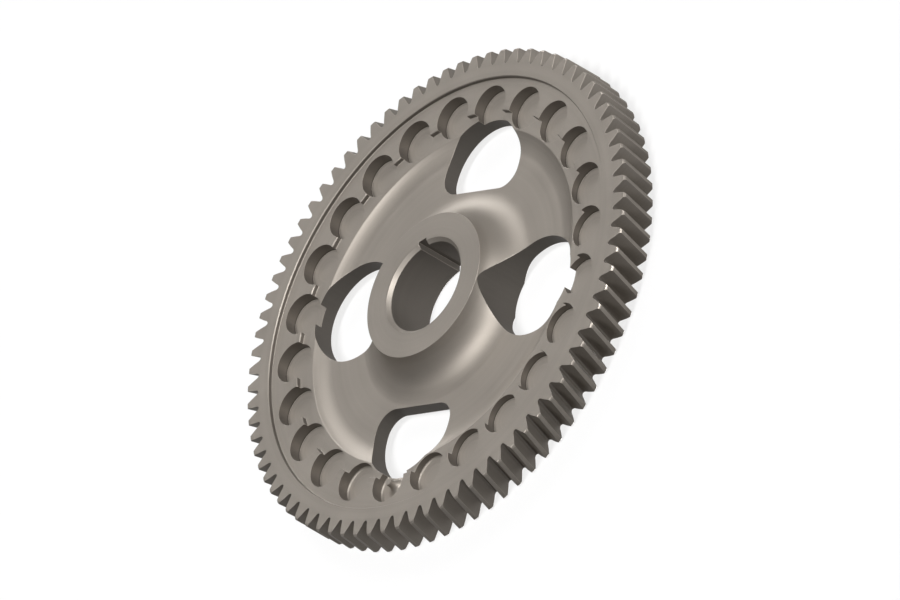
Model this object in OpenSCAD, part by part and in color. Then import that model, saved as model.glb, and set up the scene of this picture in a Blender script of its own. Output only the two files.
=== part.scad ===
// Camshaft gear: a helical timing gear turned and milled from one steel forging.
// The origin is on the bore axis at the back face. +Z points to the proud side of the hub,
// the two round windows lie along X and the two flat-sided ones along Y.

/* [Teeth] */
// Number of teeth round the rim
teeth = 80; // [64:1:90]
// Diameter over the tooth tips
tip_d = 226.6; // [222:0.1:240]
// Height of a tooth above the pitch circle, where tooth and space are equally wide
addendum = 3.2; // [2.6:0.1:3.6]
// Depth of a tooth space below the pitch circle
dedendum = 3.9; // [3.2:0.1:4.4]
// Helix angle at the pitch circle, a right-hand helix
helix = 15.7; // [0:0.1:25]
// Pressure angle, measured square to the tooth
pressure = 20; // [16:0.5:22]
// Radius at the bottom of a tooth space
root_round = 0.9; // [0.5:0.1:1]
// Angle from X to the middle of one tooth at the front face
tooth_start = -0.5; // [-2:0.1:2]
// Chamfer on the tooth tips at both faces
tip_chamfer = 0.9; // [0.3:0.1:1.5]

/* [Rim] */
// Width of the teeth, from the back face to the front face of the rim
face_w = 17.6; // [16.6:0.1:24]
// Diameter of the first turned step in the front face
step_d = 200; // [196:0.5:204]
// Depth of the first step
step_depth = 2.0; // [1:0.1:2.8]
// Diameter of the second turned step
ring_d = 170; // [168:0.5:174]
// Depth of the second step below the front face
ring_depth = 4.2; // [3.4:0.1:5.4]
// Diameter at which the dish of the web begins
dish_d = 156; // [152:0.5:162]
// Radius of the fillet between the dish and the web
dish_round = 18; // [12:0.5:24]
// Chamfer at the top of each turned step
step_chamfer = 0.4; // [0.2:0.1:0.8]
// Diameter of the recess in the back face
back_d = 192; // [188:0.5:196]
// Radius of the fillet at the outside of the back recess
back_round = 10; // [5:0.5:14]

/* [Web] */
// Depth of the web below the front face of the rim
web_depth = 7.0; // [6:0.1:8]
// Thickness of the web
web_t = 7.1; // [5.5:0.1:8]

/* [Hub] */
// Outer diameter of the hub
hub_d = 67.4; // [62:0.2:67.4]
// Height of the hub above the front face of the rim
hub_proud = 7.2; // [3:0.1:12]
// Radius of the fillet between the hub and the web
hub_round = 17; // [10:0.5:22]
// Diameter of the hub at the back face
back_hub_d = 72; // [68:0.5:78]
// Diameter of the shaft bore
bore_d = 41.5; // [30:0.1:48]
// Chamfer at the front end of the bore
bore_chamfer = 1.6; // [0.5:0.1:2.5]
// Chamfer at the back end of the bore
back_chamfer = 0.4; // [0.2:0.1:1.5]
// Width of the keyway
key_w = 4.6; // [3:0.1:8]
// Depth of the keyway below the bore wall
key_depth = 2.8; // [1.5:0.1:4]
// Angle from X to the middle of the keyway
key_angle = 112; // [0:1:360]

/* [Windows] */
// Diameter of the windows
window_d = 46.2; // [40:0.2:48]
// Distance from the axis to the middle of a round window
round_at = 56.9; // [56:0.1:58]
// Distance from the axis to the middle of a flat-sided window
flat_at = 60.3; // [58:0.1:61]
// Distance from the axis to the flat side
flat_side = 50; // [48:0.5:54]
// Radius where the flat side turns into the round
flat_corner = 9.2; // [4:0.2:12]

/* [Pockets] */
// Number of blind pockets
pockets = 24; // [12:4:24]
// Diameter of a pocket
pocket_d = 18.6; // [12:0.2:20]
// Diameter of the circle through the middles of the pockets
pocket_ring_d = 175.4; // [172:0.2:178]
// Depth of a pocket below the front face of the rim
pocket_depth = 7.8; // [6:0.1:9]
// Radius at the floor of the three pockets round the timing post
floor_round = 1.0; // [0.4:0.1:2]
// Diameter of the timing post at its top
post_d = 3.2; // [2:0.1:5]
// Radius of the flare between the post and the pocket floor
post_round = 4.2; // [2:0.1:5]

/* [Hidden] */

steel = [0.56, 0.53, 0.50];
front = face_w;
hub_front = face_w + hub_proud;
web_front = face_w - web_depth;
web_back = web_front - web_t;
// How far a cut runs past the face that it opens
past = 1;
// Straight steps in the section of a large fillet, of a small one and of a round under 1 mm
fillet_steps = 14;
small_steps = 5;
foot_steps = 3;
// Sides that OpenSCAD's own preview gives the blank, the bore and windows, and the pockets
blank_sides = 180;
bore_sides = 96;
pocket_sides = 48;

tip_r = tip_d / 2;
pitch_r = tip_r - addendum;
root_r = pitch_r - dedendum;
// The pressure angle in the plane of rotation, and the circle that the involute unwinds from
face_pressure = atan(tan(pressure) / cos(helix));
base_r = pitch_r * cos(face_pressure);
// Turn of a tooth for each millimetre of face width
twist_rate = tan(helix) / pitch_r * 180 / PI;
tooth_pitch = 360 / teeth;
// Straight steps from the root to the tip of a flank, and lengths of flank along the face
flank_steps = 4;
face_steps = 2;
// Half the sweep of the round at the bottom of a tooth space
root_sweep = 60;

pocket_floor = front - pocket_depth;
post_top = front - step_depth;
pocket_pitch = 360 / pockets;
// Angle from X to the pocket with the timing post, and the pockets on each side that have its round floor
timing_angle = 270;
round_neighbours = 1;

// The involute function, in degrees
function inv(a) = tan(a) * 180 / PI - a;

// Half the angle of a tooth space at radius r, the same as half a tooth at the pitch circle
function half_space(r) =
    tooth_pitch / 4 - inv(face_pressure) + inv(acos(base_r / r));

function polar(r, a) = [r * cos(a), r * sin(a)];

// Points of an arc from angle a to angle b
function arc(middle, r, a, b, n) =
    [for (i = [0 : n]) middle + polar(r, a + (b - a) * i / n)];

// Horizontal reach of a fillet of radius r that is flat at its foot and climbs h
function reach(r, h) = sqrt(pow(r, 2) - pow(r - min(h, r), 2));

// Slope at the top of that fillet, measured from the flat
function climb(r, h) = acos((r - min(h, r)) / r);

// One tooth space across the gear: a round bottom and two involute flanks that run out past the tips
function space_outline() =
    let (
        flank_start = root_r + root_round,
        flank_end = tip_r + past,
        flank = [for (i = [0 : flank_steps])
            flank_start + (flank_end - flank_start) * i / flank_steps]
    )
    concat(
        [for (i = [flank_steps : -1 : 0]) polar(flank[i], half_space(flank[i]))],
        arc([flank_start, 0], root_round, 180 - root_sweep, 180 + root_sweep, foot_steps),
        [for (i = [0 : flank_steps]) polar(flank[i], -half_space(flank[i]))]
    );

module tooth_spaces() {
    back_turn = tooth_start - (front + past) * twist_rate;
    long = front + 2 * past;
    translate([0, 0, -past])
        rotate(back_turn + tooth_pitch / 2)
            linear_extrude(height = long, twist = -long * twist_rate, slices = face_steps, segments = 1)
                for (i = [0 : teeth - 1])
                    rotate(i * tooth_pitch)
                        polygon(space_outline());
}

// Half section of the blank before the holes and teeth are cut, from the axis outwards and back
function front_section() =
    let (
        hub_r = hub_d / 2,
        hub_climb = hub_front - web_front,
        dish_climb = web_depth - ring_depth,
        hub_end = hub_r + reach(hub_round, hub_climb),
        dish_start = dish_d / 2 - reach(dish_round, dish_climb)
    )
    concat(
        [[0, hub_front], [hub_r, hub_front]],
        arc([hub_end, web_front + hub_round], hub_round,
            270 - climb(hub_round, hub_climb), 270, fillet_steps),
        arc([dish_start, web_front + dish_round], dish_round,
            270, 270 + climb(dish_round, dish_climb), fillet_steps),
        step_section(ring_d / 2, front - ring_depth, front - step_depth),
        step_section(step_d / 2, front - step_depth, front)
    );

// One turned step, with a small round at its foot and a chamfer at its top
function step_section(r, low, high) =
    concat(
        arc([r - step_chamfer, low + step_chamfer], step_chamfer, 270, 360, foot_steps),
        [[r, high - step_chamfer], [r + step_chamfer, high]]
    );

function tooth_edge_section() = [
    [tip_r - tip_chamfer, front], [tip_r, front - tip_chamfer],
    [tip_r, tip_chamfer], [tip_r - tip_chamfer, 0]
];

function back_section() =
    let (
        recess_start = back_d / 2 - reach(back_round, web_back),
        hub_end = back_hub_d / 2 + reach(hub_round, web_back)
    )
    concat(
        arc([recess_start, web_back - back_round], back_round,
            90 - climb(back_round, web_back), 90, small_steps),
        arc([hub_end, web_back - hub_round], hub_round,
            90, 90 + climb(hub_round, web_back), small_steps),
        [[0, 0]]
    );

module blank() {
    rotate_extrude($fn = blank_sides)
        polygon(concat(front_section(), tooth_edge_section(), back_section()));
}

module bore() {
    translate([0, 0, -past])
        cylinder(h = hub_front + 2 * past, d = bore_d, $fn = bore_sides);
    bore_mouth(back_chamfer);
    translate([0, 0, hub_front])
        mirror([0, 0, 1])
            bore_mouth(bore_chamfer);
    rotate(key_angle)
        translate([0, -key_w / 2, -past])
            cube([bore_d / 2 + key_depth, key_w, hub_front + 2 * past]);
}

// The cone that breaks the edge where the bore opens at z = 0
module bore_mouth(chamfer) {
    translate([0, 0, -past])
        cylinder(h = past + chamfer, r1 = bore_d / 2 + chamfer + past, r2 = bore_d / 2, $fn = bore_sides);
}

module round_window() {
    translate([round_at, 0, -past])
        cylinder(h = hub_front + 2 * past, d = window_d, $fn = bore_sides);
}

// A window of the same round with its inner side cut straight, and a smaller round at each end of the
// straight side that runs smoothly into the large one
module flat_window() {
    large = window_d / 2;
    middle = flat_at - flat_side;
    corner_y = flat_corner - middle;
    corner_x = sqrt(pow(large - flat_corner, 2) - pow(corner_y, 2));
    touch = large / (large - flat_corner) * [corner_x, corner_y];
    long = hub_front + 2 * past;
    translate([0, flat_at, -past]) {
        intersection() {
            cylinder(h = long, d = window_d, $fn = bore_sides);
            translate([-window_d, touch[1], 0])
                cube([2 * window_d, window_d, long]);
        }
        for (side = [-1, 1])
            translate([side * corner_x, corner_y, 0])
                cylinder(h = long, r = flat_corner, $fn = bore_sides);
        linear_extrude(height = long)
            polygon([[-corner_x, -middle], [corner_x, -middle], touch,
                     [0, large / 2], [-touch[0], touch[1]]]);
    }
}

module plain_pocket() {
    cylinder(h = pocket_depth + past, d = pocket_d, $fn = pocket_sides);
}

module round_floor_pocket() {
    rotate_extrude($fn = pocket_sides)
        polygon(concat(
            [[0, pocket_depth + past], [0, 0]],
            arc([pocket_d / 2 - floor_round, floor_round], floor_round, 270, 360, small_steps),
            [[pocket_d / 2, pocket_depth + past]]
        ));
}

// The post that is left standing in the middle of a pocket, flared where it meets the floor
module timing_post() {
    height = post_top - pocket_floor;
    flare = min(post_round, height);
    rotate_extrude($fn = pocket_sides)
        polygon(concat(
            [[0, -past], [post_d / 2 + flare, -past]],
            arc([post_d / 2 + flare, flare], flare, 270, 180, small_steps),
            [[post_d / 2, height], [0, height]]
        ));
}

module pocket_ring() {
    for (i = [0 : pockets - 1]) {
        from_post = abs(i * pocket_pitch - timing_angle);
        rotate(i * pocket_pitch)
            translate([pocket_ring_d / 2, 0, pocket_floor])
                if (from_post < pocket_pitch / 2)
                    difference() {
                        round_floor_pocket();
                        timing_post();
                    }
                else if (from_post < pocket_pitch * (round_neighbours + 0.5))
                    round_floor_pocket();
                else
                    plain_pocket();
    }
}

module camshaft_gear() {
    color(steel)
        difference() {
            blank();
            tooth_spaces();
            bore();
            for (side = [0, 180]) {
                rotate(side) round_window();
                rotate(side) flat_window();
            }
            pocket_ring();
        }
}

camshaft_gear();
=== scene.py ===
import math

import bpy
from mathutils import Matrix, Vector


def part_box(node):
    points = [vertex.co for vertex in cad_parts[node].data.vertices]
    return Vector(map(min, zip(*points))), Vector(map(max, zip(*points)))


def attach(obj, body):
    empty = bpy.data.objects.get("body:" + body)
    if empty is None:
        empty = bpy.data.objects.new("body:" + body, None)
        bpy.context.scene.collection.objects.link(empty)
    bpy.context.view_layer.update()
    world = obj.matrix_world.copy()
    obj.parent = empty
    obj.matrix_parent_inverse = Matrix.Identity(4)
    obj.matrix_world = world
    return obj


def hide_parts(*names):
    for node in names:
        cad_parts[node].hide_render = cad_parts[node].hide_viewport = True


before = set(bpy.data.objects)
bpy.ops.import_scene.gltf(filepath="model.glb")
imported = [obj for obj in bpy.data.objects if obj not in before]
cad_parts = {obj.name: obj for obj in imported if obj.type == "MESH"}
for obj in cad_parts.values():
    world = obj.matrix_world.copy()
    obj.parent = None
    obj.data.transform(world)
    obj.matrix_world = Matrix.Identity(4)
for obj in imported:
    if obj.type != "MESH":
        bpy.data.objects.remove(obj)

# A camshaft gear of satin steel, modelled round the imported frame: a turned blank, eighty helical tooth
# spaces, a keyed bore, four windows and a ring of blind pockets, each cut with its own tool shape.

bl_info = {
    "name": "Camshaft gear",
    "version": (1, 0, 0),
    "blender": (4, 5, 0),
    "location": "View3D > Sidebar > Gear",
    "description": "Models a helical camshaft gear with its pockets, windows and keyed bore",
    "category": "Add Mesh",
}

NODE = "camshaft_gear"
LOW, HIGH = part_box(NODE)
HUB_FRONT = HIGH.z - LOW.z
TIP_DIAMETER = HIGH.x - LOW.x


def size(name, description, default):
    """A length in metres that the user can change."""
    return bpy.props.FloatProperty(name=name, description=description, default=default, min=0.0,
                                   precision=5, unit="LENGTH", subtype="DISTANCE")


def angle(name, description, degrees):
    """An angle that the user can change."""
    return bpy.props.FloatProperty(name=name, description=description, default=math.radians(degrees),
                                   unit="ROTATION", subtype="ANGLE")


def share(name, description, default, high=1.0):
    """A plain number from 0 up that the user can change."""
    return bpy.props.FloatProperty(name=name, description=description, default=default, min=0.0, max=high,
                                   subtype="FACTOR")


def colour(name, description, default):
    """A colour that the user can change."""
    return bpy.props.FloatVectorProperty(name=name, description=description, default=default,
                                         min=0.0, max=1.0, size=3, subtype="COLOR")


class GearTeeth(bpy.types.PropertyGroup):
    """Sizes of the helical teeth"""
    count: bpy.props.IntProperty(name="Teeth", description="Number of teeth round the rim", default=80, min=8)
    tip_diameter: size("Tip diameter", "Diameter over the tooth tips", TIP_DIAMETER)
    addendum: size("Addendum", "Height of a tooth above the pitch circle", 0.0032)
    dedendum: size("Dedendum", "Depth of a tooth space below the pitch circle", 0.0039)
    helix: angle("Helix", "Helix angle at the pitch circle, right-hand", 15.7)
    pressure: angle("Pressure angle", "Pressure angle, measured square to the tooth", 20)
    root_round: size("Root round", "Radius at the bottom of a tooth space", 0.0009)
    start: angle("Start", "Angle from X to the middle of one tooth at the front face", -0.5)
    tip_chamfer: size("Tip chamfer", "Chamfer on the tooth tips at both faces", 0.0009)


class GearBlank(bpy.types.PropertyGroup):
    """Sizes of the turned blank"""
    face_width: size("Face width", "Width of the teeth", 0.0176)
    hub_front: size("Hub height", "Height of the hub's front above the back face", HUB_FRONT)
    hub_diameter: size("Hub diameter", "Outer diameter of the hub", 0.0674)
    hub_round: size("Hub fillet", "Radius of the fillet between the hub and the web", 0.017)
    back_hub_diameter: size("Back boss diameter", "Diameter of the hub at the back face", 0.072)
    bore_diameter: size("Bore diameter", "Diameter of the shaft bore", 0.0415)
    bore_chamfer: size("Bore chamfer", "Chamfer at the front end of the bore", 0.0016)
    back_chamfer: size("Back chamfer", "Chamfer at the back end of the bore", 0.0004)
    web_depth: size("Web depth", "Depth of the web below the front face of the rim", 0.007)
    web_thickness: size("Web thickness", "Thickness of the web", 0.0071)
    dish_diameter: size("Dish diameter", "Diameter at which the dish of the web begins", 0.156)
    dish_round: size("Dish fillet", "Radius of the fillet between the dish and the web", 0.018)
    ring_diameter: size("Ring diameter", "Diameter of the second turned step", 0.17)
    ring_depth: size("Ring depth", "Depth of the second step below the front face", 0.0042)
    step_diameter: size("Step diameter", "Diameter of the first turned step", 0.2)
    step_depth: size("Step depth", "Depth of the first step", 0.002)
    step_chamfer: size("Step chamfer", "Chamfer at the top of each turned step", 0.0004)
    back_diameter: size("Recess diameter", "Diameter of the recess in the back face", 0.192)
    back_round: size("Recess fillet", "Radius of the fillet at the outside of the back recess", 0.01)
    edge_break: size("Edge break", "Width to which the sharp edges are broken", 0.00012)


class GearCuts(bpy.types.PropertyGroup):
    """Sizes of the keyway, the windows and the pockets"""
    key_width: size("Keyway width", "Width of the keyway", 0.0046)
    key_depth: size("Keyway depth", "Depth of the keyway below the bore wall", 0.0028)
    key_angle: angle("Keyway angle", "Angle from X to the middle of the keyway", 112)
    window_diameter: size("Window diameter", "Diameter of the windows", 0.0462)
    round_at: size("Round window place", "Distance from the axis to the middle of a round window", 0.0569)
    flat_at: size("Flat window place", "Distance from the axis to the middle of a flat-sided window", 0.0603)
    flat_side: size("Flat side", "Distance from the axis to the straight side of a flat-sided window", 0.05)
    flat_corner: size("Flat corner", "Radius where the straight side turns into the round", 0.0092)
    pockets: bpy.props.IntProperty(name="Pockets", description="Number of blind pockets", default=24, min=3)
    pocket_diameter: size("Pocket diameter", "Diameter of a pocket", 0.0186)
    pocket_ring: size("Pocket circle", "Diameter of the circle through the middles of the pockets", 0.1754)
    pocket_depth: size("Pocket depth", "Depth of a pocket below the front face of the rim", 0.0078)
    floor_round: size("Floor round", "Radius at the floor of the pockets round the timing post", 0.001)
    timing_angle: angle("Timing angle", "Angle from X to the pocket with the timing post", 270)
    post_diameter: size("Post diameter", "Diameter of the timing post at its top", 0.0032)
    post_round: size("Post flare", "Radius of the flare between the post and the pocket floor", 0.0042)


class StudioLook(bpy.types.PropertyGroup):
    """Colours and levels of the steel and the studio"""
    steel: colour("Steel", "Colour of the satin steel", (0.292, 0.263, 0.231))
    metal: share("Metal", "How metallic the satin steel looks, against its dull skin", 0.7)
    satin: share("Satin", "Roughness of the turned faces", 0.5)
    marks: size("Tool marks", "Height of the tool marks", 0.000004)
    lamps: share("Lamps", "Level of all the lamps together", 1.0, 4.0)
    sky: share("Sky", "How much light comes evenly from all sides", 0.08)
    shadow: share("Shadow", "How strongly the floor shows the shadow", 0.5)
    mirrored: share("Mirrored white", "How much of the white room the steel shows", 0.08)
    azimuth: angle("Azimuth", "Where the camera stands round the gear, from -Y towards +X", 65.39)
    elevation: angle("Elevation", "How high the camera stands, an isometric view", 35.264)
    roll: angle("Roll", "How far the camera is rolled about its own line of sight", -60)
    aim_right: size("Aim right", "Middle of the view, to the right of the front face's middle", 0.006138)
    aim_down: size("Aim down", "Middle of the view, below the front face's middle", 0.003511)
    view_width: size("View width", "Width that the camera sees", 0.38073)


# How far a cutting tool reaches past the faces it cuts. It and every length here is in metres.
MARGIN = 0.001
# Steps of the round shapes. Those of the windows and pockets keep clear of the corners where the two meet.
BLANK_STEPS = 320
WINDOW_STEPS = 108
FLAT_STEPS = 76
CORNER_STEPS = 20
POCKET_STEPS = 44
FLANK_STEPS = 10
ROOT_STEPS = 7
FACE_LAYERS = 4
HUB_STEPS = 26
DISH_STEPS = 14
BACK_STEPS = 8
STEP_STEPS = 4
FLOOR_STEPS = 6
FLARE_STEPS = 12
# How far the round of a root goes to either side of its lowest point, in degrees.
ROOT_REACH = 60
# Points nearer than this are one point.
SAME = 1e-7
# The shortest edge, and the narrowest face, that is left before the edges are broken.
SHORTEST = 0.0001
NARROWEST = 0.000025
# How far the finished gear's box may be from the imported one.
SIZE_ERROR = 0.0001
# Angles between two faces, in degrees: at most this and they are one flat, more than this and their edge is
# broken, and more than this and it stays crisp.
FLAT = 0.05
SHARP = 50
CRISP = 40
BREAK_SEGMENTS = 2

# How far off the camera stands, the side of the floor, and how far the floor is below the gear.
CAMERA_AWAY = 1.0
FLOOR_SIDE = 6.0
FLOOR_GAP = 0.0003
# Each lamp: the way to it, its strength, its width in degrees and whether it casts a shadow.
LAMPS = {
    "key_lamp": ((0.55, 0.2, 0.81), 2.35, 20, False),
    "front_lamp": ((0.04, -0.28, 0.96), 1.72, 20, True),
    "side_lamp": ((0.83, 0.44, 0.34), 1.23, 20, False),
    "rim_lamp": ((-0.68, 0.68, 0.27), 0.75, 20, False),
    "back_lamp": ((-0.42, 0.6, 0.68), 0.41, 20, True),
    "under_lamp": ((-0.55, 0.25, -0.8), 2.0, 20, False),
}
# Grey of the floor for the camera and through glass, and for all other rays.
PALE = 0.68
SHADE = 0.2

# How light each tool leaves the steel, against the steel's own colour, and how far that varies. The hobbed,
# broached and milled tones are set low partly for their finish and mostly as painted shade on those flanks
# and walls; the worn bevels are lighter from wear.
TONES = {"turned": 1.03, "hobbed": 0.85, "broached": 0.6, "milled": 0.52, "bored": 1.03, "worn": 1.2}
COLOUR_SPAN = 0.16
# Tones of the painted shade on walls, steps, roots and corners and of the painted highlight on the tip
# chamfers, and how much smoother the highlighted chamfers are made.
PAINTED_SHADE_TONE = 0.2
PAINTED_HIGHLIGHT_TONE = 1.35
HIGHLIGHT_SMOOTHING = 0.12
# Lines, grains or clouds in a metre.
TURNED_LINES = 350
HOBBED_LINES = 1500
BORED_LINES = 900
GRAIN = 3500
CLOUDS = 40
ALONG = {"broached": 2500, "milled": 900, "worn": 2500}
# Grain along the tool's way, against the grain across it.
STRETCH = 0.02
# Shares of each pattern in the colour, the gloss and the relief.
CLOUD_TONE, MARK_TONE, GRAIN_TONE = 0.5, 0.5, 0.3
MARK_GLOSS, CLOUD_GLOSS = 0.12, 0.1
GRAIN_HEIGHT = 0.3
TURNED_HEIGHT, HOBBED_HEIGHT, CUT_HEIGHT = 1.0, 0.6, 0.8
FEED_SHARE = 0.4
# Length of one feed of the hob along the tooth.
HOB_FEED = 0.0016
# Widths of the painted shade bands in the roots and the pockets' corners, and over which a band's edge fades.
ROOT_SHADE_BAND = 0.0009
CORNER_SHADE_BAND = 0.0012
LINE = 0.00005
# How strong the painted shade is on the bore wall, the turned steps' walls, the tooth roots, and the corners
# and walls of the pockets.
BORE_DARK, STEP_DARK, ROOT_DARK, CORNER_DARK, WALL_DARK = 0.5, 0.6, 0.3, 0.3, 0.6


def polar(r, a):
    """The point at radius r and angle a, in radians."""
    return Vector((r * math.cos(a), r * math.sin(a)))


def arc(middle, r, start, end, steps):
    """Points of an arc, its angles in degrees."""
    sweep = end - start
    return [Vector(middle) + polar(r, math.radians(start + sweep * i / steps)) for i in range(steps + 1)]


def select_only(*pieces):
    """Selects these objects alone and makes the first one active."""
    bpy.ops.object.select_all(action="DESELECT")
    for piece in pieces:
        piece.select_set(True)
    bpy.context.view_layer.objects.active = pieces[0]


def draw(name, points, place):
    """A closed outline, drawn edge by edge from one point of a plane. place puts a flat point in space."""
    spots = [place(p) for p in points]
    bpy.ops.object.select_all(action="DESELECT")
    bpy.ops.mesh.primitive_plane_add(size=MARGIN)
    piece = bpy.context.object
    piece.name = piece.data.name = name
    bpy.ops.object.mode_set(mode="EDIT")
    bpy.ops.mesh.merge(type="CENTER")
    bpy.ops.transform.translate(value=spots[0])
    for before, after in zip(spots, spots[1:] + spots[:1]):
        bpy.ops.mesh.extrude_region_move(TRANSFORM_OT_translate={"value": after - before})
    bpy.ops.mesh.select_all(action="SELECT")
    bpy.ops.mesh.remove_doubles(threshold=SAME)
    return piece


def turn(name, points, steps):
    """A solid of revolution round the Z axis, from a closed section drawn in the XZ plane."""
    piece = draw(name, points, lambda p: Vector((p[0], 0, p[1])))
    bpy.ops.mesh.spin(steps=steps, angle=2 * math.pi, center=(0, 0, 0), axis=(0, 0, 1), use_auto_merge=True)
    return close(piece)


def close(piece):
    """Joins what meets, turns all faces outwards and leaves edit mode."""
    bpy.ops.mesh.select_all(action="SELECT")
    bpy.ops.mesh.remove_doubles(threshold=SAME)
    bpy.ops.mesh.normals_make_consistent(inside=False)
    bpy.ops.object.mode_set(mode="OBJECT")
    return piece


def prism(name, points, low, high, turns=0.0, layers=1):
    """A prism of a flat outline from the low to the high face, turned evenly about Z on its way."""
    piece = draw(name, points, lambda p: Vector((p[0], p[1], low)))
    bpy.ops.mesh.edge_face_add()
    for _ in range(layers):
        bpy.ops.mesh.extrude_region_move(TRANSFORM_OT_translate={"value": (0, 0, (high - low) / layers)})
        if turns:
            bpy.ops.transform.rotate(value=-turns / layers, orient_axis="Z", orient_type="GLOBAL",
                                     center_override=(0, 0, 0))
    return close(piece)


def ring_of(piece, angles):
    """Copies of a piece at these angles about Z, joined into one object."""
    copies = []
    for a in angles:
        select_only(piece)
        bpy.ops.object.duplicate()
        copies.append(bpy.context.object)
        copies[-1].rotation_euler.z = a
    select_only(piece)
    bpy.ops.object.delete()
    select_only(*copies)
    bpy.ops.object.join()
    bpy.ops.object.transform_apply(location=True, rotation=True, scale=True)
    return bpy.context.object


def cut(piece, tool):
    """Cuts the tool's shape out of the piece and throws the tool away."""
    before = len(piece.data.vertices), len(piece.data.polygons)
    select_only(piece)
    bpy.ops.object.modifier_add(type="BOOLEAN")
    modifier = piece.modifiers[-1]
    modifier.operation, modifier.solver, modifier.object = "DIFFERENCE", "EXACT", tool
    modifier.material_mode = "TRANSFER"
    bpy.ops.object.modifier_apply(modifier=modifier.name)
    if (len(piece.data.vertices), len(piece.data.polygons)) == before:
        raise RuntimeError(f"{tool.name} has cut nothing")
    select_only(tool)
    bpy.ops.object.delete()


def inv(a):
    """The involute function."""
    return math.tan(a) - a


def reach(r, h):
    """Horizontal reach of a fillet of radius r that is flat at its foot and climbs h."""
    return math.sqrt(r ** 2 - (r - min(h, r)) ** 2)


def climb(r, h):
    """Slope in degrees at the top of that fillet."""
    return math.degrees(math.acos((r - min(h, r)) / r))


def turned_blank(b, teeth):
    """The blank as it leaves the lathe, with the bore through it."""
    front = b.face_width
    web_front = front - b.web_depth
    web_back = web_front - b.web_thickness
    bore, hub, tip = b.bore_diameter / 2, b.hub_diameter / 2, teeth.tip_diameter / 2
    hub_climb, dish_climb = b.hub_front - web_front, b.web_depth - b.ring_depth
    hub_end = hub + reach(b.hub_round, hub_climb)
    dish_start = b.dish_diameter / 2 - reach(b.dish_round, dish_climb)
    boss_end = b.back_hub_diameter / 2 + reach(b.hub_round, web_back)
    recess_start = b.back_diameter / 2 - reach(b.back_round, web_back)

    def step(r, low, high):
        foot = b.step_chamfer
        return arc((r - foot, low + foot), foot, 270, 360, STEP_STEPS) + [
            Vector((r, high - foot)), Vector((r + foot, high))]

    section = [Vector(p) for p in ((bore, b.back_chamfer), (bore, b.hub_front - b.bore_chamfer),
                                   (bore + b.bore_chamfer, b.hub_front), (hub, b.hub_front))]
    hub_slope = climb(b.hub_round, hub_climb)
    section += arc((hub_end, web_front + b.hub_round), b.hub_round, 270 - hub_slope, 270, HUB_STEPS)[1:]
    section += arc((dish_start, web_front + b.dish_round), b.dish_round,
                   270, 270 + climb(b.dish_round, dish_climb), DISH_STEPS)
    section += step(b.ring_diameter / 2, front - b.ring_depth, front - b.step_depth)
    section += step(b.step_diameter / 2, front - b.step_depth, front)
    section += [Vector(p) for p in ((tip - teeth.tip_chamfer, front), (tip, front - teeth.tip_chamfer),
                                    (tip, teeth.tip_chamfer), (tip - teeth.tip_chamfer, 0))]
    section += arc((recess_start, web_back - b.back_round), b.back_round,
                   90 - climb(b.back_round, web_back), 90, BACK_STEPS)
    section += arc((boss_end, web_back - b.hub_round), b.hub_round,
                   90, 90 + climb(b.hub_round, web_back), BACK_STEPS)
    section += [Vector((bore + b.back_chamfer, 0))]
    return turn("turned", section, BLANK_STEPS)


def tooth_spaces(t, face_width):
    """The shapes that the hob takes out between the teeth."""
    tip = t.tip_diameter / 2
    pitch = tip - t.addendum
    root = pitch - t.dedendum
    face_pressure = math.atan(math.tan(t.pressure) / math.cos(t.helix))
    base = pitch * math.cos(face_pressure)
    step = 2 * math.pi / t.count

    def half_space(r):
        return step / 4 - inv(face_pressure) + inv(math.acos(base / r))

    low, high = root + t.root_round, tip + MARGIN
    flank = [low + (high - low) * i / FLANK_STEPS for i in range(FLANK_STEPS + 1)]
    outline = [polar(r, half_space(r)) for r in reversed(flank)]
    outline += arc((low, 0), t.root_round, 180 - ROOT_REACH, 180 + ROOT_REACH, ROOT_STEPS)
    outline += [polar(r, -half_space(r)) for r in flank]
    long = face_width + 2 * MARGIN
    twist = math.tan(t.helix) / pitch
    space = prism("tooth_space", outline, -MARGIN, face_width + MARGIN, long * twist, FACE_LAYERS)
    first = t.start - (face_width + MARGIN) * twist + step / 2
    return ring_of(space, [first + i * step for i in range(t.count)])


def keyway(c, b):
    """The broach that cuts the keyway."""
    half, far = c.key_width / 2, b.bore_diameter / 2 + c.key_depth
    outline = [Vector(p) for p in ((0, -half), (far, -half), (far, half), (0, half))]
    return ring_of(prism("keyway", outline, -MARGIN, b.hub_front + MARGIN), [c.key_angle])


def windows(c, b):
    """The four shapes that pass through the web."""
    large, corner = c.window_diameter / 2, c.flat_corner
    middle = c.flat_at - c.flat_side
    corner_y = corner - middle
    corner_x = math.sqrt((large - corner) ** 2 - corner_y ** 2)
    touch = math.degrees(math.atan2(corner_y, corner_x))
    at = Vector((0, c.flat_at))
    flat = arc(at, large, touch, 180 - touch, FLAT_STEPS)
    flat += arc(at + Vector((-corner_x, corner_y)), corner, 180 - touch, 270, CORNER_STEPS)[1:]
    flat += arc(at + Vector((corner_x, corner_y)), corner, 270, 360 + touch, CORNER_STEPS)[:-1]
    turned = arc((c.round_at, 0), large, 0, 360, WINDOW_STEPS)[:-1]
    high = b.hub_front + MARGIN
    tools = [ring_of(prism("window", outline, -MARGIN, high), [0, math.pi]) for outline in (turned, flat)]
    select_only(*tools)
    bpy.ops.object.join()
    return bpy.context.object


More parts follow.
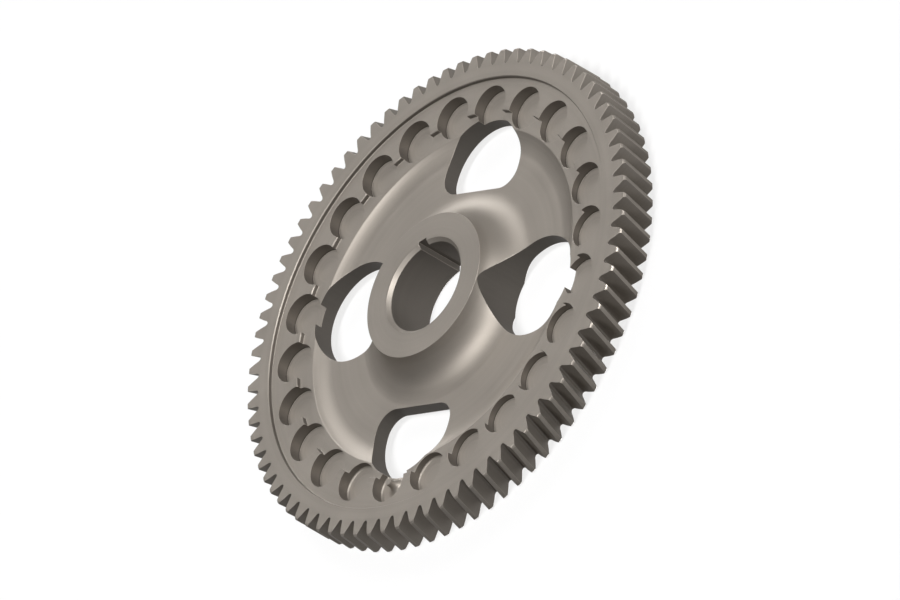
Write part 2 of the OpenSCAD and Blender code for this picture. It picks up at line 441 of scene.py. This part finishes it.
def pockets(c, b):
    """The end mill's shapes in the front face, and the one that leaves the timing post standing."""
    r, top = c.pocket_diameter / 2, c.pocket_depth + MARGIN
    height = c.pocket_depth - b.step_depth
    flare, post = min(c.post_round, height), c.post_diameter / 2

    def wall(floor):
        foot = arc((r - floor, floor), floor, 270, 360, FLOOR_STEPS) if floor else [Vector((r, 0))]
        return foot + [Vector((r, top)), Vector((0, top))]

    stem = [Vector((0, height)), Vector((post, height))]
    stem += arc((post + flare, flare), flare, 180, 270, FLARE_STEPS)
    forms = {"plain": [Vector((0, 0))] + wall(0), "round": [Vector((0, 0))] + wall(c.floor_round),
             "post": stem + wall(c.floor_round)}
    pitch = 2 * math.pi / c.pockets
    places = {"plain": [], "round": [], "post": []}
    for i in range(c.pockets):
        away = abs(round((i * pitch - c.timing_angle) / pitch))
        places["post" if away == 0 else "round" if away == 1 else "plain"].append(i * pitch)
    tools = []
    for kind, section in forms.items():
        tool = turn("pocket_" + kind, section, POCKET_STEPS)
        tool.location = (c.pocket_ring / 2, 0, b.face_width - c.pocket_depth)
        bpy.ops.object.transform_apply(location=True, rotation=True, scale=True)
        tools.append(ring_of(tool, places[kind]))
    select_only(*tools)
    bpy.ops.object.join()
    return bpy.context.object


def part_cuts(piece):
    """Marks the edges where two cuts meet at too flat an angle to be broken, so that they stay crisp."""
    worn = len(piece.data.materials) - 1
    meet = {}
    for face in piece.data.polygons:
        for ends in face.edge_keys:
            meet.setdefault(ends, set()).add(face.material_index)
    bpy.ops.object.mode_set(mode="EDIT")
    bpy.ops.mesh.select_mode(type="EDGE")
    bpy.ops.mesh.select_all(action="DESELECT")
    bpy.ops.object.mode_set(mode="OBJECT")
    for edge in piece.data.edges:
        edge.select = len(meet[edge.key] - {worn}) > 1
    bpy.ops.object.mode_set(mode="EDIT")
    bpy.ops.mesh.mark_sharp()
    bpy.ops.object.mode_set(mode="OBJECT")


def break_edges(piece, width):
    """Clears what the cuts left on the flats, breaks the sharp edges and smooths the rest."""
    select_only(piece)
    bpy.ops.object.mode_set(mode="EDIT")
    bpy.ops.mesh.select_all(action="SELECT")
    bpy.ops.mesh.remove_doubles(threshold=SHORTEST)
    bpy.ops.mesh.dissolve_degenerate(threshold=NARROWEST)
    bpy.ops.mesh.dissolve_limited(angle_limit=math.radians(FLAT), use_dissolve_boundaries=False,
                                  delimit={"MATERIAL"})
    bpy.ops.object.mode_set(mode="OBJECT")
    bpy.ops.object.modifier_add(type="BEVEL")
    bevel = piece.modifiers[-1]
    bevel.width, bevel.segments, bevel.limit_method = width, BREAK_SEGMENTS, "ANGLE"
    bevel.angle_limit = math.radians(SHARP)
    bevel.use_clamp_overlap = bevel.loop_slide = False
    bevel.material = len(piece.data.materials) - 1
    bpy.ops.object.modifier_apply(modifier=bevel.name)
    part_cuts(piece)
    bpy.ops.object.shade_smooth_by_angle(angle=math.radians(CRISP))
    bpy.ops.object.modifier_add(type="WEIGHTED_NORMAL")
    normals = piece.modifiers[-1]
    normals.mode, normals.keep_sharp = "FACE_AREA", True
    bpy.ops.object.modifier_apply(modifier=normals.name)


def check_size(piece):
    """Stops the script if the finished gear isn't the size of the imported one."""
    corners = [Vector(corner) for corner in piece.bound_box]
    if max((corners[0] - LOW).length, (corners[6] - HIGH).length) > SIZE_ERROR:
        raise RuntimeError(f"{piece.name} isn't the packed size: {corners[0]} to {corners[6]}")


class Value:
    """A number socket of a material, worked on with Python's own operators."""

    def __init__(self, nodes, socket):
        self.nodes, self.socket = nodes, socket

    def _math(self, operation, *values):
        return self.nodes.value("ShaderNodeMath", {"operation": operation}, *values)

    def __add__(self, other):
        return self._math("ADD", self, other)

    def __sub__(self, other):
        return self._math("SUBTRACT", self, other)

    def __rsub__(self, other):
        return self._math("SUBTRACT", other, self)

    def __mul__(self, other):
        return self._math("MULTIPLY", self, other)

    __radd__, __rmul__ = __add__, __mul__

    def power(self, other):
        return self._math("POWER", self, other)

    def angle_from(self, x):
        return self._math("ARCTAN2", self, x)

    def nearest(self, step):
        return self._math("SNAP", self + step / 2, step)

    def cosine(self):
        return self._math("COSINE", self)

    def sine(self):
        return self._math("SINE", self)

    def between(self, low, high):
        """0 at the low value and under, 1 at the high value and over, smooth between them."""
        return self.nodes.value("ShaderNodeMapRange", {"interpolation_type": "SMOOTHSTEP"},
                                self, low, high, 0.0, 1.0)


class Nodes:
    """The nodes of one material or of the world."""

    def __init__(self, owner):
        owner.use_nodes = True
        self.owner, self.tree = owner, owner.node_tree

    def node(self, kind, settings, *values, output=0):
        """A node with these settings, whose first inputs take these values or sockets."""
        made = self.tree.nodes.new(kind)
        for name, value in settings.items():
            setattr(made, name, value)
        for socket, value in zip(made.inputs, values):
            if value is None:
                continue
            if isinstance(value, Value):
                value = value.socket
            if isinstance(value, bpy.types.NodeSocket):
                self.tree.links.new(value, socket)
            else:
                socket.default_value = value
        return made.outputs[output]

    def value(self, kind, settings, *values, output=0):
        return Value(self, self.node(kind, settings, *values, output=output))

    def blend(self, factor, low, high):
        """A colour between two, by a factor from 0 to 1."""
        return self.node("ShaderNodeMix", {"data_type": "RGBA"}, factor, *[None] * 5, low, high, output=2)

    def rays(self, **shares):
        """A share for each kind of ray that looks this way, such as camera=1, and 0 for all others."""
        return sum(self.value("ShaderNodeLightPath", {}, output=f"Is {kind.title()} Ray") * part
                   for kind, part in shares.items())

    def finish(self, shader):
        out = next(n for n in self.tree.nodes if n.type.startswith("OUTPUT"))
        self.tree.links.new(shader, out.inputs["Surface"])
        return self.owner


class Finish(Nodes):
    """A material of one kind of cut, and what its nodes read."""

    def __init__(self, name):
        super().__init__(bpy.data.materials.new(name))
        self.shader = self.tree.nodes["Principled BSDF"]
        self.point = self.node("ShaderNodeTexCoord", {}, output="Object")
        split = self.node("ShaderNodeSeparateXYZ", {}, self.point).node
        self.x, self.y, self.z = (Value(self, out) for out in split.outputs)
        self.radius = (self.x * self.x + self.y * self.y).power(0.5)

    def spots(self, scale, detail=2.0, roughness=0.5, point=None):
        """Cloudy noise from 0 to 1, its cells 1 / scale metres across."""
        return self.value("ShaderNodeTexNoise", {}, point or self.point, None, scale, detail, roughness)

    def lines(self, feed, scale):
        """Uneven lines from 0 to 1 that follow a tool, by how far it has been fed."""
        detail, roughness = 4.0, 0.6
        return self.value("ShaderNodeTexNoise", {"noise_dimensions": "1D"},
                          None, feed, scale, detail, roughness)

    def feed(self, name, value):
        self.tree.links.new(value.socket if isinstance(value, Value) else value, self.shader.inputs[name])

    def dress(self, look, tool, marks, height, painted_shade=None, painted_highlight=None):
        """Colour, gloss and relief of steel that this tool has cut, with shade or a highlight painted in
        where the masks say.
        """
        def tint(level):
            return (*(part * level for part in look.steel), 1)

        clouds, grain = self.spots(CLOUDS, 3.0), self.spots(GRAIN)
        tone = (clouds - 0.5) * CLOUD_TONE + (marks - 0.5) * MARK_TONE + (grain - 0.5) * GRAIN_TONE + 0.5
        level = TONES[tool]
        colour = self.blend(tone, tint(level * (1 - COLOUR_SPAN)), tint(level * (1 + COLOUR_SPAN)))
        gloss = look.satin + (marks - 0.5) * MARK_GLOSS + (clouds - 0.5) * CLOUD_GLOSS
        # Painted shade: the colour is darkened by the mask.
        if painted_shade:
            colour = self.blend(painted_shade, colour, tint(PAINTED_SHADE_TONE))
        # Painted highlight: the colour is lightened and the gloss made smoother by the mask.
        if painted_highlight:
            colour = self.blend(painted_highlight, colour, tint(PAINTED_HIGHLIGHT_TONE))
            gloss = gloss - painted_highlight * HIGHLIGHT_SMOOTHING
        self.feed("Base Color", colour)
        self.feed("Roughness", gloss)
        self.shader.inputs["Metallic"].default_value = look.metal
        relief = marks * height + grain * GRAIN_HEIGHT
        self.feed("Normal", self.node("ShaderNodeBump", {}, 1.0, look.marks, None, relief))


class GEAR_OT_camshaft_gear(bpy.types.Operator):
    """Model the camshaft gear: turn the blank, then cut teeth, keyway, windows and pockets"""
    bl_idname = "gear.camshaft_gear"
    bl_label = "Camshaft gear"
    bl_options = {"REGISTER", "UNDO"}

    def execute(self, context):
        scene = context.scene
        teeth, blank, cuts = scene.gear_teeth, scene.gear_blank, scene.gear_cuts
        gear = turned_blank(blank, teeth)
        finishes = steel_finishes(scene)
        gear.data.materials.append(finishes["turned"])
        for tool, name in ((tooth_spaces(teeth, blank.face_width), "hobbed"),
                           (keyway(cuts, blank), "broached"),
                           (windows(cuts, blank), "milled"),
                           (pockets(cuts, blank), "bored")):
            tool.data.materials.append(finishes[name])
            cut(gear, tool)
        gear.data.materials.append(finishes["worn"])
        break_edges(gear, blank.edge_break)
        check_size(gear)
        gear.name = gear.data.name = "camshaft_gear_finished"
        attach(gear, "root")
        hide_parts(NODE)
        return {"FINISHED"}


class GEAR_OT_stage(bpy.types.Operator):
    """Set the camera, the lamps, the world and the pale floor"""
    bl_idname = "gear.stage"
    bl_label = "Stage"
    bl_options = {"REGISTER", "UNDO"}

    def execute(self, context):
        scene, look = context.scene, context.scene.gear_look
        back, right, up = camera_axes(look)
        aim = Vector((0, 0, scene.gear_blank.face_width)) + right * look.aim_right - up * look.aim_down
        bpy.ops.object.camera_add(location=aim + back * CAMERA_AWAY)
        camera = context.object
        camera.rotation_euler = Matrix((right, up, back)).transposed().to_euler()
        camera.data.type, camera.data.ortho_scale = "ORTHO", look.view_width
        camera.data.clip_start, camera.data.clip_end = CAMERA_AWAY / 100, CAMERA_AWAY * 10
        scene.camera = camera
        scene.view_settings.view_transform = "Standard"
        for name, (way, strength, width, shadow) in LAMPS.items():
            bpy.ops.object.light_add(type="SUN", rotation=Vector(way).to_track_quat("Z", "Y").to_euler())
            lamp = context.object
            lamp.name = name
            lamp.data.energy, lamp.data.angle = strength * look.lamps, math.radians(width)
            lamp.data.use_shadow = shadow
        bpy.ops.object.select_all(action="DESELECT")
        bpy.ops.mesh.primitive_plane_add(size=FLOOR_SIDE, location=(0, 0, -FLOOR_GAP))
        floor = context.object
        floor.name = "floor"
        bpy.ops.object.transform_apply(location=True, rotation=True, scale=True)
        floor.data.materials.append(floor_paint(look))
        scene.world = studio_world(look)
        return {"FINISHED"}


def camera_axes(look):
    """Back, right and up of the camera, from where it stands and how it is rolled."""
    a, e = look.azimuth, look.elevation
    back = Vector((math.sin(a) * math.cos(e), -math.cos(a) * math.cos(e), math.sin(e)))
    level = Vector((math.cos(a), math.sin(a), 0))
    roll = Matrix.Rotation(look.roll, 3, back)
    return back, roll @ level, roll @ back.cross(level)


def floor_paint(look):
    """Pale paint, white where it is lit, that keeps a faint shadow and isn't seen from below."""
    paint = Nodes(bpy.data.materials.new("floor_paint"))
    tone = paint.blend(paint.rays(camera=1, transmission=1), grey(SHADE), grey(PALE))
    coat = paint.node("ShaderNodeBsdfDiffuse", {}, tone)
    white = paint.node("ShaderNodeEmission", {}, grey(1), 1.0)
    shown = paint.rays(camera=1 - look.shadow, glossy=look.mirrored, transmission=1 - look.shadow)
    top = paint.node("ShaderNodeMixShader", {}, shown, coat, white)
    clear = paint.node("ShaderNodeBsdfTransparent", {})
    below = paint.node("ShaderNodeNewGeometry", {}, output="Backfacing")
    return paint.finish(paint.node("ShaderNodeMixShader", {}, below, top, clear))


def studio_world(look):
    """An even pale room, white where it is seen."""
    room = Nodes(bpy.data.worlds.new("studio"))
    level = look.sky + room.rays(camera=1, glossy=look.mirrored / 2, transmission=1) * (1 - look.sky)
    return room.finish(room.node("ShaderNodeBackground", {}, grey(1), level))


def grey(level):
    return (level, level, level, 1)


def steel_finishes(scene):
    """One satin steel, in the finish that each tool leaves, with shade painted on walls, steps, roots and
    corners and a highlight painted on the tip chamfers.
    """
    look, teeth, cuts, blank = scene.gear_look, scene.gear_teeth, scene.gear_cuts, scene.gear_blank
    made = {name: Finish(name + "_steel") for name in TONES}

    turned = made["turned"]
    lines = turned.lines(turned.radius + turned.z, TURNED_LINES)
    tip, bore = teeth.tip_diameter / 2, blank.bore_diameter / 2
    # Painted shade on the bore wall and on the walls of the two turned steps at the front.
    in_bore = 1 - turned.radius.between(bore + LINE, bore + 3 * LINE)
    on_step = sum(turned.radius.between(r - 3 * LINE, r - LINE)
                  * (1 - turned.radius.between(r + LINE, r + 3 * LINE))
                  for r in (blank.step_diameter / 2, blank.ring_diameter / 2))
    in_front = turned.z.between(blank.face_width / 2, blank.face_width / 2 + LINE)
    # Painted highlight on the tip chamfers, lighter and smoother so that they glint.
    chamfer = turned.radius.between(tip - teeth.tip_chamfer, tip - teeth.tip_chamfer + LINE)
    on_chamfer = chamfer * (1 - turned.radius.between(tip - 2 * LINE, tip - LINE))
    painted_shade = in_bore * BORE_DARK + on_step * in_front * STEP_DARK
    turned.dress(look, "turned", lines, TURNED_HEIGHT, painted_shade, on_chamfer)

    hobbed = made["hobbed"]
    feed = (hobbed.z * (2 * math.pi / HOB_FEED)).cosine() * 0.25 + 0.5
    lines = hobbed.lines(hobbed.z, HOBBED_LINES) * (1 - FEED_SHARE) + feed * FEED_SHARE
    root = tip - teeth.addendum - teeth.dedendum
    # Painted shade in the tooth roots.
    in_root = 1 - hobbed.radius.between(root, root + ROOT_SHADE_BAND)
    hobbed.dress(look, "hobbed", lines, HOBBED_HEIGHT, in_root * ROOT_DARK)

    for name, scale in ALONG.items():
        steel = made[name]
        along = steel.node("ShaderNodeCombineXYZ", {}, steel.x, steel.y, steel.z * STRETCH)
        steel.dress(look, name, steel.spots(scale, point=along), CUT_HEIGHT)

    bored = made["bored"]
    pitch = 2 * math.pi / cuts.pockets
    middle = bored.y.angle_from(bored.x).nearest(pitch)
    across = bored.x - middle.cosine() * (cuts.pocket_ring / 2)
    along = bored.y - middle.sine() * (cuts.pocket_ring / 2)
    inside = (across * across + along * along).power(0.5)
    wall, floor = cuts.pocket_diameter / 2, blank.face_width - cuts.pocket_depth
    # Painted shade in the pockets' floor corners and on their walls.
    corner = inside.between(wall - CORNER_SHADE_BAND, wall) * (1 - bored.z.between(floor, floor + CORNER_SHADE_BAND))
    on_wall = inside.between(wall - 2 * LINE, wall - LINE)
    painted_shade = corner * CORNER_DARK + on_wall * WALL_DARK
    bored.dress(look, "bored", bored.lines(inside + bored.z, BORED_LINES), CUT_HEIGHT, painted_shade)
    return {name: steel.owner for name, steel in made.items()}


class VIEW3D_PT_camshaft_gear(bpy.types.Panel):
    """Lists the gear and its stage"""
    bl_idname = "VIEW3D_PT_camshaft_gear"
    bl_label = "Camshaft gear"
    bl_space_type = "VIEW_3D"
    bl_region_type = "UI"
    bl_category = "Gear"

    def draw(self, context):
        for operator in OPERATORS:
            self.layout.operator(operator.bl_idname)
        for name, group in GROUPS.items():
            box = self.layout.box()
            for field in group.__annotations__:
                box.prop(getattr(context.scene, name), field)


OPERATORS = (GEAR_OT_camshaft_gear, GEAR_OT_stage)
CLASSES = (GearTeeth, GearBlank, GearCuts, StudioLook, *OPERATORS, VIEW3D_PT_camshaft_gear)
GROUPS = {"gear_teeth": GearTeeth, "gear_blank": GearBlank, "gear_cuts": GearCuts, "gear_look": StudioLook}


def register():
    for made in CLASSES:
        bpy.utils.register_class(made)
    for name, group in GROUPS.items():
        setattr(bpy.types.Scene, name, bpy.props.PointerProperty(type=group))


def unregister():
    for name in GROUPS:
        delattr(bpy.types.Scene, name)
    for made in reversed(CLASSES):
        bpy.utils.unregister_class(made)


def main():
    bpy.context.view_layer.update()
    register()
    bpy.ops.gear.stage()
    bpy.ops.gear.camshaft_gear()


if __name__ == "__main__":
    main()
